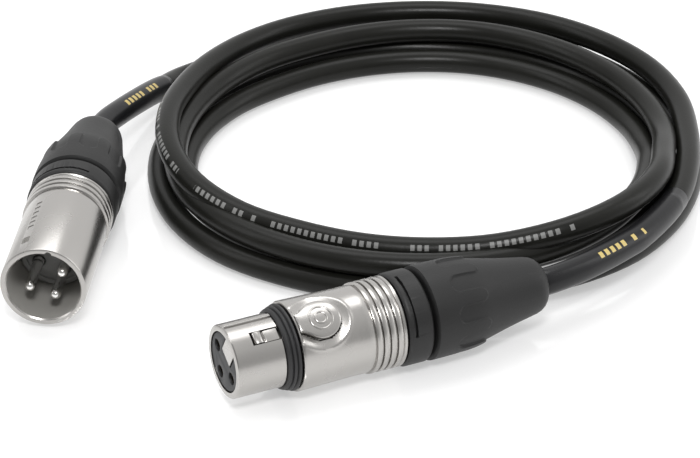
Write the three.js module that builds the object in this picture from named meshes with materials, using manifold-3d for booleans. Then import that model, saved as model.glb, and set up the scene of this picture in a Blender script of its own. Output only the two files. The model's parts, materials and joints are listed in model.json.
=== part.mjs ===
// A microphone cable wound into a round coil, with a three-pole socket connector on one end
// and a three-pole pin connector on the other. Millimetres, +Z up, standing on the plane z = 0.
// Each connector is built along its own axis: z runs back from its front face, +y is the side
// of the latch, and it is then laid down and turned into place.

import * as THREE from "three";
import { mergeVertices } from "three/addons/utils/BufferGeometryUtils.js";
import Module from "manifold-3d";

const wasm = await Module();
wasm.setup();

// ---- driving dimensions ----------------------------------------------------------------------

const CLEARANCE = 0.3;            // between pieces that seat on or pass through each other

const CABLE_RADIUS = 2.85;
const SLEEVE_WALL = 0.2;          // heat-shrink sleeve round the cable beside each connector
const SLEEVE_RADIUS = CABLE_RADIUS + SLEEVE_WALL;

const COIL_CENTRE = [26.3, 63.8];
const COIL_INNER_RADIUS = 46;
const COIL_HEIGHT = 12;

const SOCKET_FRONT = [-6.4, -45.15];   // where the socket connector's nose ends, in plan
const SOCKET_HEADING = 31.3;          // degrees from +X to the way its cable leaves
const SOCKET_ROLL = -32;              // degrees from straight up to its latch
const PLUG_FRONT = [-49.4, -18.85];
const PLUG_HEADING = 90;
const PLUG_ROLL = 28;

const CONTACT_CIRCLE_RADIUS = 4.15;
const PIN_RADIUS = 1.2;
const KEY_ANGLE = 38;                 // degrees from the latch to the key

const NOSE_RADIUS = 8;
const NOSE_LENGTH = 11;
const NOSE_BORE_RADIUS = 6.65;
const GASKET_LENGTH = 3.2;
const GASKET_RADIUS = NOSE_RADIUS + 1.5;
const SOCKET_BODY_RADIUS = NOSE_RADIUS + 1.65;
const SOCKET_SHELL_LENGTH = 38.3;
const SOCKET_INSERT_LENGTH = 22;

const PLUG_BODY_RADIUS = 9.5;
const PLUG_BORE_RADIUS = 8.15;
const PLUG_SHELL_LENGTH = 33.9;
const PLUG_INSERT_FRONT = 14.5;
const PLUG_INSERT_LENGTH = 6;
const PIN_TIP = 2.5;                  // how far the pins' tips stand back from the rim

const REAR_BORE_RADIUS = 8;           // both shells, where the gland nut screws in
const REAR_BORE_LENGTH = 9.6;
const RIB_RISE = 0.35;
const RIB_PITCH = 2.4;
const RIB_COUNT = 3;

const COLLAR_RADIUS = 10.25;
const COLLAR_LENGTH = 5.7;
const BOOT_RADIUS = 10.25;
const BOOT_LENGTH = 29.9;
const BOOT_END_RADIUS = 5.9;
const BOOT_GAP = 0.9;                 // the dark groove between collar and boot
const NUT_WALL = 1.5;
const NUT_FRONT = 6.5;                // how far the nut reaches into the shell
const NUT_LENGTH = 19.8;
const CHUCK_FRONT = 7;
const CHUCK_LENGTH = 14;

const PAD_RADIUS = 4.4;
const PAD_NECK_HALF_WIDTH = 2.1;
const PAD_PLACE = 19.9;               // from the nose's front to the middle of the pad
const LATCH_WIDTH = 2.7;
const LATCH_PIVOT = [6.9, 27];        // y and z of the pin that the latch rocks on
const LATCH_PIN_RADIUS = 0.5;

// The cable's route from just behind each boot to the coil's outer wall.
const LEAD_STRAIGHT = 2;              // how far the cable runs straight out of a boot
const SOCKET_LEAD_POINTS = [
  [65.6, 0.4, 10.1],
  [71.2, 7.0, 9.8],
  [75.4, 12.6, 9.6],
  [78.6, 17.4, 9.4],
];
const PLUG_LEAD_POINTS = [
  [-48.4, 59.3, 10.0],
  [-46.4, 65.6, 9.3],
  [-44.0, 73.4, 8.0],
  [-41.7, 81.0, 6.5],
  [-39.1, 88.2, 5.0],
  [-35.4, 96.7, 3.5],
];
const PLUG_SLEEVE_SHARE = 0.86;       // how much of the plug's lead its sleeve covers

// The widest piece of either connector rests on the plane, and the coil fills what the leads leave.
const AXIS_HEIGHT = Math.max(
  COLLAR_RADIUS,
  BOOT_RADIUS,
  SOCKET_BODY_RADIUS + RIB_RISE,
  PLUG_BODY_RADIUS + RIB_RISE,
);
const leadDistance = ([x, y]) => Math.hypot(x - COIL_CENTRE[0], y - COIL_CENTRE[1]);
const COIL_OUTER_RADIUS = Math.min(
  leadDistance(SOCKET_LEAD_POINTS.at(-1)) - SLEEVE_RADIUS,
  leadDistance(PLUG_LEAD_POINTS.at(-1)) - CABLE_RADIUS,
) - CLEARANCE;

// ---- materials -------------------------------------------------------------------------------

const nickel = new THREE.MeshStandardMaterial({ color: 0xc9c6c1, roughness: 0.32, metalness: 1 });
const gold = new THREE.MeshStandardMaterial({ color: 0xcaa54b, roughness: 0.3, metalness: 1 });
const silver = new THREE.MeshStandardMaterial({ color: 0xd3d0cb, roughness: 0.22, metalness: 1 });
const steel = new THREE.MeshStandardMaterial({ color: 0x8f9092, roughness: 0.35, metalness: 1 });
const blackPlastic = new THREE.MeshStandardMaterial({ color: 0x27282a, roughness: 0.55, metalness: 0 });
const blackRubber = new THREE.MeshStandardMaterial({ color: 0x1d1d1e, roughness: 0.75, metalness: 0 });
const jacket = new THREE.MeshStandardMaterial({ color: 0x262724, roughness: 0.45, metalness: 0 });
const shrink = new THREE.MeshStandardMaterial({ color: 0x1c1c1d, roughness: 0.3, metalness: 0 });
const coreColours = [0x2c4f8e, 0xd8d6cf, 0xa9672f];
const insulation = (color) => new THREE.MeshStandardMaterial({ color, roughness: 0.5, metalness: 0 });
const cores = coreColours.map(insulation);

// ---- shaping ---------------------------------------------------------------------------------

const radians = THREE.MathUtils.degToRad;

// Six times the signed volume of an indexed geometry, which is negative when it is inside out.
function signedVolume(geometry) {
  const position = geometry.attributes.position;
  const index = geometry.index.array;
  const a = new THREE.Vector3();
  const b = new THREE.Vector3();
  const c = new THREE.Vector3();
  let total = 0;
  for (let i = 0; i < index.length; i += 3) {
    a.fromBufferAttribute(position, index[i]);
    b.fromBufferAttribute(position, index[i + 1]);
    c.fromBufferAttribute(position, index[i + 2]);
    total += a.dot(b.cross(c));
  }
  return total;
}

// A three.js geometry as a solid whose faces point out.
function solid(source) {
  const bare = source.clone();
  bare.deleteAttribute("normal");
  bare.deleteAttribute("uv");
  const geometry = mergeVertices(bare, 1e-4);
  const triVerts = new Uint32Array(geometry.index.array);
  if (signedVolume(geometry) < 0) {
    for (let i = 0; i < triVerts.length; i += 3) {
      [triVerts[i], triVerts[i + 1]] = [triVerts[i + 1], triVerts[i]];
    }
  }
  const vertProperties = new Float32Array(geometry.attributes.position.array);
  return new wasm.Manifold(new wasm.Mesh({ numProp: 3, vertProperties, triVerts }));
}

function geometryOf(body) {
  const mesh = body.getMesh();
  const geometry = new THREE.BufferGeometry();
  geometry.setAttribute("position", new THREE.BufferAttribute(new Float32Array(mesh.vertProperties), 3));
  geometry.setIndex(new THREE.BufferAttribute(new Uint32Array(mesh.triVerts), 1));
  geometry.computeVertexNormals();
  return geometry;
}

// A turned piece about z. Its outline is a list of [z, radius], and a hollow one closes on itself.
function turned(outline, segments = 40) {
  const points = outline.map(([z, radius]) => new THREE.Vector2(radius, z));
  const hollow = outline[0][1] > 0;
  if (hollow) {
    points.push(points[0].clone());
  }
  const geometry = new THREE.LatheGeometry(points, segments);
  geometry.rotateX(Math.PI / 2);
  return solid(geometry);
}

// A block between two corners.
function block(low, high) {
  const size = high.map((value, i) => value - low[i]);
  const geometry = new THREE.BoxGeometry(...size);
  geometry.translate(...low.map((value, i) => value + size[i] / 2));
  return solid(geometry);
}

// A round bar along x, y or z from a point.
function bar(axis, start, length, radius, segments = 32) {
  const geometry = new THREE.CylinderGeometry(radius, radius, length, segments);
  geometry.translate(0, length / 2, 0);
  if (axis === "z") {
    geometry.rotateX(Math.PI / 2);
  }
  if (axis === "x") {
    geometry.rotateZ(-Math.PI / 2);
  }
  geometry.translate(...start);
  return solid(geometry);
}

// A plate in the x-y plane, cut from a ring between two angles, counted from +y towards +x.
function arcPlate(innerRadius, outerRadius, fromDegrees, toDegrees, z, thickness) {
  const start = radians(90 - toDegrees);
  const end = radians(90 - fromDegrees);
  const shape = new THREE.Shape();
  shape.absarc(0, 0, outerRadius, start, end, false);
  shape.absarc(0, 0, innerRadius, end, start, true);
  const settings = { depth: thickness, bevelEnabled: false, curveSegments: 16 };
  const geometry = new THREE.ExtrudeGeometry(shape, settings);
  geometry.translate(0, 0, z);
  return solid(geometry);
}

// The same body turned about z, counted from +y towards +x.
function swung(body, degrees) {
  return body.rotate([0, 0, -degrees]);
}

// A round tube along a curve.
function tubeAlong(curve, radius, steps, sides) {
  const section = new THREE.Shape();
  for (let i = 0; i < sides; i += 1) {
    const angle = (i / sides) * 2 * Math.PI;
    const x = radius * Math.cos(angle);
    const y = radius * Math.sin(angle);
    if (i === 0) {
      section.moveTo(x, y);
    } else {
      section.lineTo(x, y);
    }
  }
  section.closePath();
  const options = { steps, bevelEnabled: false, extrudePath: curve };
  return solid(new THREE.ExtrudeGeometry(section, options));
}

function place(group, name, body, material) {
  const mesh = new THREE.Mesh(geometryOf(body), material);
  mesh.name = name;
  group.add(mesh);
}

// A group whose z runs back along the connector and whose +y is the latch's side.
function connectorGroup([x, y], heading, roll) {
  const back = new THREE.Vector3(Math.cos(radians(heading)), Math.sin(radians(heading)), 0);
  const up = new THREE.Vector3(0, 0, 1);
  const side = new THREE.Vector3().crossVectors(up, back);
  const latch = up.clone().multiplyScalar(Math.cos(radians(roll)));
  latch.addScaledVector(side, Math.sin(radians(roll)));
  const across = new THREE.Vector3().crossVectors(latch, back);
  const group = new THREE.Group();
  group.quaternion.setFromRotationMatrix(new THREE.Matrix4().makeBasis(across, latch, back));
  group.position.set(x, y, AXIS_HEIGHT);
  return group;
}

// Where the three contacts sit: one on each side and one opposite the latch.
const contactPlaces = [-90, 90, 180].map((degrees) => [
  CONTACT_CIRCLE_RADIUS * Math.sin(radians(degrees)),
  CONTACT_CIRCLE_RADIUS * Math.cos(radians(degrees)),
]);

// The ribbed rear of a shell, as the outer part of its outline, ending at the rear face.
function ribbedRear(bodyRadius, length) {
  const grooveDepth = 0.45;
  const grooveWidth = 0.8;
  const first = length - (RIB_COUNT + 0.2) * RIB_PITCH;
  const ribRadius = bodyRadius + RIB_RISE;
  const outline = [[first - 1.2, bodyRadius], [first - 0.6, ribRadius]];
  for (let i = 0; i < RIB_COUNT; i += 1) {
    const start = first + i * RIB_PITCH;
    outline.push([start, ribRadius]);
    outline.push([start + 0.2, ribRadius - grooveDepth]);
    outline.push([start + grooveWidth - 0.2, ribRadius - grooveDepth]);
    outline.push([start + grooveWidth, ribRadius]);
  }
  outline.push([length - 0.3, ribRadius]);
  outline.push([length, ribRadius - 0.3]);
  return outline;
}

// ---- what both connectors have behind their shells ---------------------------------------------

function addRear(group, prefix, shellLength, cupEnd) {
  // The coloured collar, a plastic ring with a long narrow window in it.
  const collarFront = shellLength + CLEARANCE;
  const collarRear = collarFront + COLLAR_LENGTH;
  const nutRadius = REAR_BORE_RADIUS - CLEARANCE;
  const collar = turned([
    [collarFront, REAR_BORE_RADIUS],
    [collarFront, COLLAR_RADIUS - 0.35],
    [collarFront + 0.4, COLLAR_RADIUS],
    [collarRear - 0.4, COLLAR_RADIUS],
    [collarRear, COLLAR_RADIUS - 0.4],
    [collarRear, REAR_BORE_RADIUS],
  ]);
  const windowDepth = 0.9;
  const window = arcPlate(COLLAR_RADIUS - windowDepth, COLLAR_RADIUS + 1, -53, 35, collarFront + 1.2, 0.6);
  place(group, `${prefix}_collar`, collar.subtract(window), blackPlastic);

  // The gland nut, which screws into the shell and squeezes the chuck with its cone.
  const nutFront = shellLength - NUT_FRONT;
  const nutRear = nutFront + NUT_LENGTH;
  const nutBore = nutRadius - NUT_WALL;
  const coneStart = nutFront + 7;
  const coneEndRadius = CABLE_RADIUS + 1.35;
  const nut = turned([
    [nutFront, nutBore],
    [nutFront, nutRadius - 0.3],
    [nutFront + 0.3, nutRadius],
    [nutRear, nutRadius],
    [nutRear, coneEndRadius],
    [coneStart + 8, coneEndRadius],
    [coneStart, nutBore],
  ], 32);
  place(group, `${prefix}_gland_nut`, nut, blackPlastic);

  // The chuck, four jaws on one ring, which grip the cable's jacket.
  const chuckFront = shellLength - CHUCK_FRONT;
  const chuckRear = chuckFront + CHUCK_LENGTH;
  const chuckBore = CABLE_RADIUS + CLEARANCE;
  const chuckRadius = nutBore - CLEARANCE;
  let chuck = turned([
    [chuckFront, chuckBore],
    [chuckFront, chuckRadius],
    [coneStart - CLEARANCE, chuckRadius],
    [chuckRear, chuckBore + 0.9],
    [chuckRear, chuckBore],
  ], 32);
  const slitWidth = 0.9;
  for (const across of [true, false]) {
    const half = across ? [slitWidth / 2, REAR_BORE_RADIUS] : [REAR_BORE_RADIUS, slitWidth / 2];
    const low = [-half[0], -half[1], chuckFront + 3.5];
    const high = [half[0], half[1], chuckRear + 1];
    chuck = chuck.subtract(block(low, high));
  }
  place(group, `${prefix}_chuck`, chuck, blackPlastic);

  // The boot, a soft bend protector moulded on the nut's rear, with its bore clear of the cable.
  const bootFront = collarRear + BOOT_GAP;
  const bootRear = bootFront + BOOT_LENGTH;
  const bootBore = SLEEVE_RADIUS + CLEARANCE + 0.1;
  const seatRear = nutRear + CLEARANCE;
  const boot = turned([
    [bootFront, nutRadius + CLEARANCE],
    [bootFront, BOOT_RADIUS - 0.4],
    [bootFront + 0.5, BOOT_RADIUS],
    [bootFront + 8, BOOT_RADIUS],
    [bootFront + 12.5, BOOT_RADIUS - 0.55],
    [bootFront + 16, BOOT_RADIUS - 1.6],
    [bootFront + 21.5, BOOT_END_RADIUS + 1.3],
    [bootRear - 3.4, BOOT_END_RADIUS + 0.35],
    [bootRear - 1.6, BOOT_END_RADIUS - 0.35],
    [bootRear - 0.5, BOOT_END_RADIUS - 1.4],
    [bootRear, bootBore + 0.25],
    [bootRear, bootBore],
    [seatRear + 5, bootBore],
    [seatRear, bootBore + 2],
    [seatRear, nutRadius + CLEARANCE],
  ]);
  place(group, `${prefix}_boot`, boot, blackRubber);

  // The cable's end inside the connector, in the chuck and the boot.
  const cableFront = shellLength - CHUCK_FRONT + 1.5;
  const tail = bar("z", [0, 0, cableFront], bootRear - cableFront, CABLE_RADIUS, 12);
  place(group, `${prefix}_cable_end`, tail, jacket);

  // Three cores, from the contacts' solder cups to the cable's end.
  const coreRadius = 0.7;
  const coreCircleRadius = 1.25;
  contactPlaces.forEach(([x, y], i) => {
    const scale = coreCircleRadius / CONTACT_CIRCLE_RADIUS;
    const start = cupEnd + CLEARANCE;
    const end = cableFront - CLEARANCE;
    const reach = (end - start) * 0.4;
    const curve = new THREE.CubicBezierCurve3(
      new THREE.Vector3(x, y, start),
      new THREE.Vector3(x, y, start + reach),
      new THREE.Vector3(x * scale, y * scale, end - reach),
      new THREE.Vector3(x * scale, y * scale, end),
    );
    place(group, `${prefix}_core_${i + 1}`, tubeAlong(curve, coreRadius, 8, 8), cores[i]);
  });
}

// ---- the socket connector ----------------------------------------------------------------------

function socketConnector() {
  const group = connectorGroup(SOCKET_FRONT, SOCKET_HEADING, SOCKET_ROLL);
  const gasketFront = NOSE_LENGTH;
  const gasketRear = gasketFront + GASKET_LENGTH;
  const gasketSeat = NOSE_RADIUS - 0.45;
  const rearBoreFront = SOCKET_SHELL_LENGTH - REAR_BORE_LENGTH;
  const [pivotY, pivotZ] = LATCH_PIVOT;
  const latchHalf = LATCH_WIDTH / 2;
  const tongueLow = 4.9;
  const tongueHigh = 6.1;
  const hookFront = 5.6;
  const hookTop = NOSE_RADIUS + 0.55;
  const padTop = SOCKET_BODY_RADIUS + 0.6;
  const notchHalf = 2.55;
  const notchFloor = 1.7;

  // The shell, one casting: nose, seat for the gasket, body and ribbed rear.
  let shell = turned([
    [0, NOSE_BORE_RADIUS],
    [0, NOSE_RADIUS - 0.25],
    [0.25, NOSE_RADIUS],
    [gasketFront, NOSE_RADIUS],
    [gasketFront, gasketSeat],
    [gasketRear, gasketSeat],
    [gasketRear, SOCKET_BODY_RADIUS - 0.3],
    [gasketRear + 0.3, SOCKET_BODY_RADIUS],
    ...ribbedRear(SOCKET_BODY_RADIUS, SOCKET_SHELL_LENGTH),
    [SOCKET_SHELL_LENGTH, REAR_BORE_RADIUS],
    [rearBoreFront, REAR_BORE_RADIUS],
    [rearBoreFront, NOSE_BORE_RADIUS],
  ]);
  const keyRidge = block([-0.55, NOSE_RADIUS - 0.4, 0.3], [0.55, NOSE_RADIUS + 0.35, gasketFront - 0.1]);
  const bossFoot = NOSE_BORE_RADIUS + 0.6;
  const bossTop = padTop - 0.3;
  let boss = bar("y", [0, bossFoot, PAD_PLACE], bossTop - bossFoot, PAD_RADIUS + 1.9, 40);
  boss = boss.subtract(block([-NOSE_RADIUS * 2, 0, 0], [NOSE_RADIUS * 2, NOSE_RADIUS * 2, gasketRear]));
  const lipHalf = notchHalf - 0.35;
  const lip = block([-lipHalf, notchFloor + 0.35, 0], [lipHalf, NOSE_BORE_RADIUS + 0.3, 1.5]);
  const frontWindow = block([-1.55, 5, 4.4], [1.55, NOSE_RADIUS + 2, gasketFront + 0.1]);
  const latchSlot = block([-latchHalf - 0.6, 5, gasketRear + 0.8], [latchHalf + 0.6, 8.5, pivotZ + 1.6]);
  const padGap = 0.35;
  const padFloor = padTop - 3.4;
  const padHole = bar("y", [0, padFloor, PAD_PLACE], padTop, PAD_RADIUS + padGap, 40);
  const neckHalf = PAD_NECK_HALF_WIDTH + padGap;
  const neckHole = block([-neckHalf, padFloor, gasketRear - 0.1], [neckHalf, padTop + 1, PAD_PLACE]);
  const pinHalf = latchHalf + 1.85;
  const pinHole = bar("x", [-pinHalf - CLEARANCE, pivotY, pivotZ], 2 * (pinHalf + CLEARANCE),
    LATCH_PIN_RADIUS + CLEARANCE, 16);
  shell = shell.add(swung(keyRidge, KEY_ANGLE)).add(boss).add(lip);
  for (const opening of [frontWindow, latchSlot, padHole, neckHole, pinHole]) {
    shell = shell.subtract(opening);
  }
  place(group, "socket_shell", shell, nickel);

  // The insert that holds the three contacts, notched along its top for the latch.
  const insertFront = 0.2;
  const insertRear = insertFront + SOCKET_INSERT_LENGTH;
  const contactRadius = PIN_RADIUS + 0.25;
  let insert = bar("z", [0, 0, insertFront], SOCKET_INSERT_LENGTH, NOSE_BORE_RADIUS - CLEARANCE, 48);
  insert = insert.subtract(block([-notchHalf, notchFloor, -1], [notchHalf, NOSE_RADIUS, insertRear + 1]));
  for (const [x, y] of contactPlaces) {
    insert = insert.subtract(bar("z", [x, y, -1], insertRear + 2, contactRadius + CLEARANCE, 24));
  }
  place(group, "socket_insert", insert, blackPlastic);

  // Three turned contacts, open at the front for a pin and at the rear for solder.
  const contactFront = 1;
  const cupEnd = insertRear + 3.2;
  contactPlaces.forEach(([x, y], i) => {
    const contact = turned([
      [contactFront, PIN_RADIUS + 0.05],
      [contactFront, contactRadius],
      [cupEnd, contactRadius],
      [cupEnd, PIN_RADIUS - 0.25],
      [cupEnd - 2.4, PIN_RADIUS - 0.25],
      [cupEnd - 2.4, 0],
      [contactFront + 15, 0],
      [contactFront + 15, PIN_RADIUS + 0.05],
    ], 20);
    place(group, `socket_contact_${i + 1}`, contact.translate([x, y, 0]), gold);
  });

  // The grooved rubber gasket in its seat between the nose and the body.
  const seat = gasketSeat + CLEARANCE;
  const front = gasketFront + CLEARANCE / 2;
  const rear = gasketRear - CLEARANCE;
  const gasket = turned([
    [front, seat],
    [front, NOSE_RADIUS + 0.2],
    [front + 0.6, GASKET_RADIUS - 0.5],
    [front + 0.9, GASKET_RADIUS - 0.9],
    [front + 1.2, GASKET_RADIUS - 0.3],
    [front + 1.6, GASKET_RADIUS - 0.65],
    [front + 2.0, GASKET_RADIUS - 0.05],
    [rear, GASKET_RADIUS],
    [rear, seat],
  ]);
  place(group, "nose_gasket", gasket, blackRubber);

  // The latch: a hook in the nose's window, a tongue under the gasket, and a pad to press.
  const hookRear = gasketFront - CLEARANCE;
  const hook = block([-latchHalf, tongueLow, hookFront], [latchHalf, NOSE_RADIUS - 0.25, hookRear]);
  const catchStep = block([-0.7, NOSE_RADIUS - 1, hookFront], [0.7, hookTop, hookFront + 1.8]);
  const tongue = block([-latchHalf, tongueLow, hookFront + 1], [latchHalf, tongueHigh, PAD_PLACE]);
  const riser = block([-latchHalf, tongueLow, PAD_PLACE - 3], [latchHalf, padTop - 1, PAD_PLACE - 0.5]);
  const padFoot = padTop - 1.9;
  const pad = bar("y", [0, padFoot, PAD_PLACE], padTop - padFoot, PAD_RADIUS, 40);
  const neckFront = gasketRear + padGap;
  const neckLow = [-PAD_NECK_HALF_WIDTH, padFoot, neckFront];
  const neck = block(neckLow, [PAD_NECK_HALF_WIDTH, padTop - 0.2, PAD_PLACE]);
  const arm = block([-latchHalf, pivotY - 1.3, PAD_PLACE - 1], [latchHalf, pivotY + 1.2, pivotZ + 1.2]);
  const eye = bar("x", [-latchHalf - 1, pivotY, pivotZ], LATCH_WIDTH + 2, LATCH_PIN_RADIUS + CLEARANCE, 16);
  let latch = hook.add(catchStep).add(tongue).add(riser).add(pad).add(neck).add(arm);
  latch = latch.subtract(eye);
  place(group, "latch_lever", latch, nickel);

  // The steel pin that the latch rocks on, and the spring that lifts it.
  const pin = bar("x", [-pinHalf, pivotY, pivotZ], 2 * pinHalf, LATCH_PIN_RADIUS, 16);
  place(group, "latch_pin", pin, steel);
  const springLow = notchFloor + 0.55;
  const springHeight = tongueLow - springLow - 0.55;
  const springTurns = 4;
  const springPoints = [];
  for (let i = 0; i <= springTurns * 10; i += 1) {
    const angle = (i / 10) * 2 * Math.PI;
    const height = springLow + (springHeight * i) / (springTurns * 10);
    const along = PAD_PLACE - 4 + 1.1 * Math.sin(angle);
    springPoints.push(new THREE.Vector3(1.1 * Math.cos(angle), height, along));
  }
  const springCurve = new THREE.CatmullRomCurve3(springPoints);
  place(group, "latch_spring", tubeAlong(springCurve, 0.22, springTurns * 10, 6), steel);

  addRear(group, "socket", SOCKET_SHELL_LENGTH, cupEnd);
  return group;
}

// ---- the pin connector -------------------------------------------------------------------------

function plugConnector() {
  const group = connectorGroup(PLUG_FRONT, PLUG_HEADING, PLUG_ROLL);
  const insertRear = PLUG_INSERT_FRONT + PLUG_INSERT_LENGTH;
  const stopFront = insertRear + CLEARANCE;
  const stopRear = stopFront + 1.5;
  const stopRadius = PLUG_BORE_RADIUS - 0.75;
  const rearBoreFront = PLUG_SHELL_LENGTH - REAR_BORE_LENGTH;

  // The shell, a round casting whose bore the socket's nose slides into.
  let shell = turned([
    [0, PLUG_BORE_RADIUS + 0.3],
    [0, PLUG_BODY_RADIUS - 0.3],
    [0.3, PLUG_BODY_RADIUS],
    ...ribbedRear(PLUG_BODY_RADIUS, PLUG_SHELL_LENGTH),
    [PLUG_SHELL_LENGTH, REAR_BORE_RADIUS],
    [rearBoreFront, REAR_BORE_RADIUS],
    [rearBoreFront, stopRadius],
    [stopFront, stopRadius],
    [stopFront, PLUG_BORE_RADIUS],
    [0.3, PLUG_BORE_RADIUS],
  ], 48);
  const keyway = bar("z", [0, PLUG_BORE_RADIUS, -1], PLUG_INSERT_FRONT, 0.8, 20);
  const latchHole = block([-0.95, PLUG_BORE_RADIUS - 1, 4.3], [0.95, PLUG_BODY_RADIUS + 1, 6.9]);
  shell = shell.subtract(swung(keyway, -KEY_ANGLE)).subtract(latchHole);
  place(group, "plug_shell", shell, nickel);

  // The insert, a disc that holds the three pins.
  const pinHoleRadius = PIN_RADIUS + CLEARANCE;
  let insert = bar("z", [0, 0, PLUG_INSERT_FRONT], PLUG_INSERT_LENGTH, PLUG_BORE_RADIUS - CLEARANCE, 48);
  for (const [x, y] of contactPlaces) {
    const pinHoleFront = [x, y, PLUG_INSERT_FRONT - 1];
    insert = insert.subtract(bar("z", pinHoleFront, PLUG_INSERT_LENGTH + 2, pinHoleRadius, 24));
  }
  place(group, "plug_insert", insert, blackPlastic);

  // Three turned pins, with round tips in front and solder cups behind.
  const cupEnd = insertRear + 2;
  contactPlaces.forEach(([x, y], i) => {
    const outline = [];
    const tipSteps = 5;
    for (let step = 0; step <= tipSteps; step += 1) {
      const angle = (step / tipSteps) * (Math.PI / 2);
      outline.push([PIN_TIP + PIN_RADIUS * (1 - Math.cos(angle)), PIN_RADIUS * Math.sin(angle)]);
    }
    outline.push([cupEnd, PIN_RADIUS]);
    outline.push([cupEnd, PIN_RADIUS - 0.35]);
    outline.push([cupEnd - 1.8, PIN_RADIUS - 0.35]);
    outline.push([cupEnd - 1.8, 0]);
    place(group, `plug_pin_${i + 1}`, turned(outline, 20).translate([x, y, 0]), silver);
  });

  addRear(group, "plug", PLUG_SHELL_LENGTH, cupEnd);
  return group;
}

// ---- the cable ---------------------------------------------------------------------------------

// A curve that leaves a boot straight along its connector and then passes through some points.
function leadCurve([x, y], heading, bootRear, points) {
  const back = new THREE.Vector3(Math.cos(radians(heading)), Math.sin(radians(heading)), 0);
  const exit = new THREE.Vector3(x, y, AXIS_HEIGHT).addScaledVector(back, bootRear + CLEARANCE);
  const straight = exit.clone().addScaledVector(back, LEAD_STRAIGHT);
  const clearOfBoot = (point) => point.clone().sub(exit).dot(back) > 3 * LEAD_STRAIGHT;
  const rest = points.map((point) => new THREE.Vector3(...point)).filter(clearOfBoot);
  return new THREE.CatmullRomCurve3([exit, straight, ...rest], false, "centripetal");
}

// A stretch of a curve between two shares of its length.
class Stretch extends THREE.Curve {
  constructor(curve, from, to) {
    super();
    this.curve = curve;
    this.from = from;
    this.to = to;
  }

  getPoint(share, target = new THREE.Vector3()) {
    return this.curve.getPointAt(this.from + (this.to - this.from) * share, target);
  }
}

function cable() {
  const group = new THREE.Group();
  const edge = 2.5;
  const middle = COIL_HEIGHT / 2;
  const coil = turned([
    [0, COIL_INNER_RADIUS + edge],
    [0, COIL_OUTER_RADIUS - edge],
    [edge, COIL_OUTER_RADIUS],
    [middle, COIL_OUTER_RADIUS],
    [COIL_HEIGHT - edge, COIL_OUTER_RADIUS],
    [COIL_HEIGHT, COIL_OUTER_RADIUS - edge],
    [COIL_HEIGHT, COIL_INNER_RADIUS + edge],
    [COIL_HEIGHT - edge, COIL_INNER_RADIUS],
    [edge, COIL_INNER_RADIUS],
  ], 56);
  place(group, "cable_coil", coil.translate([...COIL_CENTRE, 0]), jacket);

  const rearLength = CLEARANCE + COLLAR_LENGTH + BOOT_GAP + BOOT_LENGTH;
  const socketBootRear = SOCKET_SHELL_LENGTH + rearLength;
  const socketLead = leadCurve(SOCKET_FRONT, SOCKET_HEADING, socketBootRear, SOCKET_LEAD_POINTS);
  place(group, "socket_lead_sleeve", tubeAlong(socketLead, SLEEVE_RADIUS, 12, 12), shrink);

  const plugLead = leadCurve(PLUG_FRONT, PLUG_HEADING, PLUG_SHELL_LENGTH + rearLength, PLUG_LEAD_POINTS);
  const gapShare = CLEARANCE / plugLead.getLength();
  const sleeve = new Stretch(plugLead, 0, PLUG_SLEEVE_SHARE);
  const bare = new Stretch(plugLead, PLUG_SLEEVE_SHARE + gapShare, 1);
  place(group, "plug_lead_sleeve", tubeAlong(sleeve, SLEEVE_RADIUS, 12, 12), shrink);
  place(group, "plug_lead", tubeAlong(bare, CABLE_RADIUS, 3, 12), jacket);
  return group;
}

// ---- the whole ---------------------------------------------------------------------------------

const assembly = new THREE.Group();
assembly.add(socketConnector());
assembly.add(plugConnector());
assembly.add(cable());

export default assembly;
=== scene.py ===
import json
import math

import bpy
from mathutils import Matrix, Vector


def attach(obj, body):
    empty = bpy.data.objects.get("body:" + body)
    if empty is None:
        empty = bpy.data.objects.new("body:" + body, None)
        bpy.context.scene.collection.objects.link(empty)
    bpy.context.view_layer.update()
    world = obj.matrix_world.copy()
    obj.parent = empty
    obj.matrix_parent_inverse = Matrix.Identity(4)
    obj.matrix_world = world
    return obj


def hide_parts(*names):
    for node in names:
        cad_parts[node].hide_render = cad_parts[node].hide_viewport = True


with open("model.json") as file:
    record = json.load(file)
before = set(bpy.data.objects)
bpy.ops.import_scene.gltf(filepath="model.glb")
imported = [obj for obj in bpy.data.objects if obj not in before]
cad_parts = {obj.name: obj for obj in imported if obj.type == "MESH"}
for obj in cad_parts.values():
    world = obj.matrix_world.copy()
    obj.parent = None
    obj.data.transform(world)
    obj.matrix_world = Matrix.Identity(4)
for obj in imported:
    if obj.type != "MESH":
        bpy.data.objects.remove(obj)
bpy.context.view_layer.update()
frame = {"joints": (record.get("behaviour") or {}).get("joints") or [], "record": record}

# ---- the viewpoint, the floor and the light ----------------------------------------------------
# The coil is seen from the front and thirty degrees above, through a long lens, lying on a
# glossy white floor lit from within. Soft boxes stand over it, and the room darkens behind
# the viewer.

MM = 0.001
FLOOR_HEIGHT = -0.2
LAMP_TARGET = Vector((0.01, 0.03, 0))
camera_data = bpy.data.cameras.new("camera")
camera_data.sensor_width = 36
camera_data.lens = 163.8
camera_data.clip_end = 20
camera = bpy.data.objects.new("camera", camera_data)
looked_at = Vector((12.5, 30.8, 0.1)) * MM
camera.location = Vector((76.0, -602.4, 363.7)) * MM
camera.rotation_euler = (looked_at - camera.location).to_track_quat("-Z", "Y").to_euler()
bpy.context.collection.objects.link(camera)
bpy.context.scene.camera = camera
bpy.context.scene.view_settings.view_transform = "Standard"

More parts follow.
